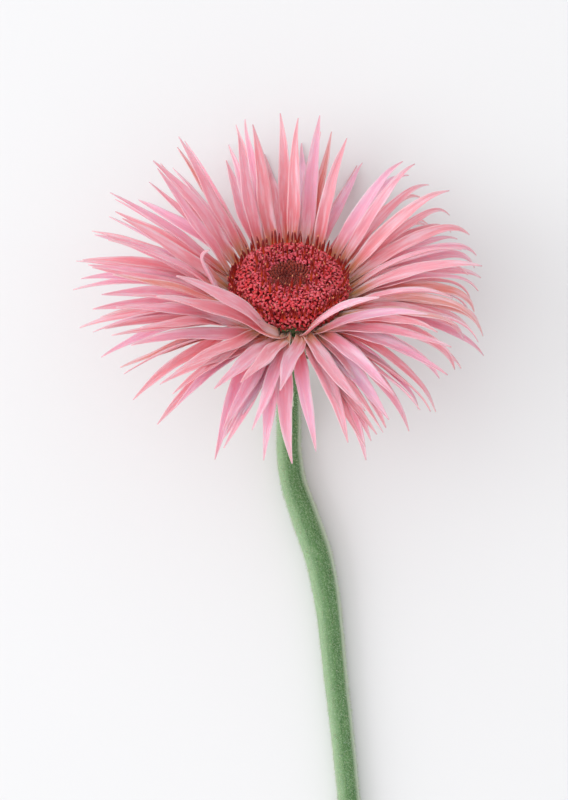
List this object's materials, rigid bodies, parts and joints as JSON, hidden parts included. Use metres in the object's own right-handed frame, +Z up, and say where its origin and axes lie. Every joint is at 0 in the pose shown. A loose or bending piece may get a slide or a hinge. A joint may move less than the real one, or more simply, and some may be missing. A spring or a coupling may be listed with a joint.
{
  "type": "cut gerbera",
  "caption": "Cut spider gerbera lying flat: narrow pointed pink petals round a dark red disc on a bent, hairy green stem.",
  "frame": {"origin": "middle of the flower's footprint, on the surface it lies on", "axes": "+Z up from the surface; the stem runs towards -Y; the flower head is at the +Y end and faces up and towards +Y"},
  "size_m": [0.1188, 0.4004, 0.0766],
  "materials": {
    "stem": "velvety light green, fine pale down",
    "bracts": "matt pale green, hairy",
    "petals": "matt translucent rose pink, fine lengthwise veins",
    "disc": "matt crimson pink, many tiny florets",
    "buds": "matt dark maroon brown"
  },
  "bodies": {
    "root": {"stem": "stem", "involucre": "bracts", "disc_florets": "disc", "disc_buds": "buds", "ray_outer_01": "petals", "ray_outer_02": "petals", "ray_outer_03": "petals", "ray_outer_04": "petals", "ray_outer_05": "petals", "ray_outer_06": "petals", "ray_outer_07": "petals", "ray_outer_08": "petals", "ray_outer_09": "petals", "ray_outer_10": "petals", "ray_outer_11": "petals", "ray_outer_12": "petals", "ray_outer_13": "petals", "ray_outer_14": "petals", "ray_outer_15": "petals", "ray_outer_16": "petals", "ray_outer_17": "petals", "ray_outer_18": "petals", "ray_outer_19": "petals", "ray_outer_20": "petals", "ray_outer_21": "petals", "ray_outer_22": "petals", "ray_outer_23": "petals", "ray_outer_24": "petals", "ray_outer_25": "petals", "ray_outer_26": "petals", "ray_inner_01": "petals", "ray_inner_02": "petals", "ray_inner_03": "petals", "ray_inner_04": "petals", "ray_inner_05": "petals", "ray_inner_06": "petals", "ray_inner_07": "petals", "ray_inner_08": "petals", "ray_inner_09": "petals", "ray_inner_10": "petals", "ray_inner_11": "petals", "ray_inner_12": "petals", "ray_inner_13": "petals", "ray_inner_14": "petals", "ray_inner_15": "petals", "ray_inner_16": "petals", "ray_inner_17": "petals", "ray_inner_18": "petals", "ray_inner_19": "petals", "ray_inner_20": "petals", "ray_inner_21": "petals", "ray_inner_22": "petals", "ray_inner_23": "petals", "ray_inner_24": "petals", "ray_inner_25": "petals", "ray_inner_26": "petals"}
  },
  "joints": []
}
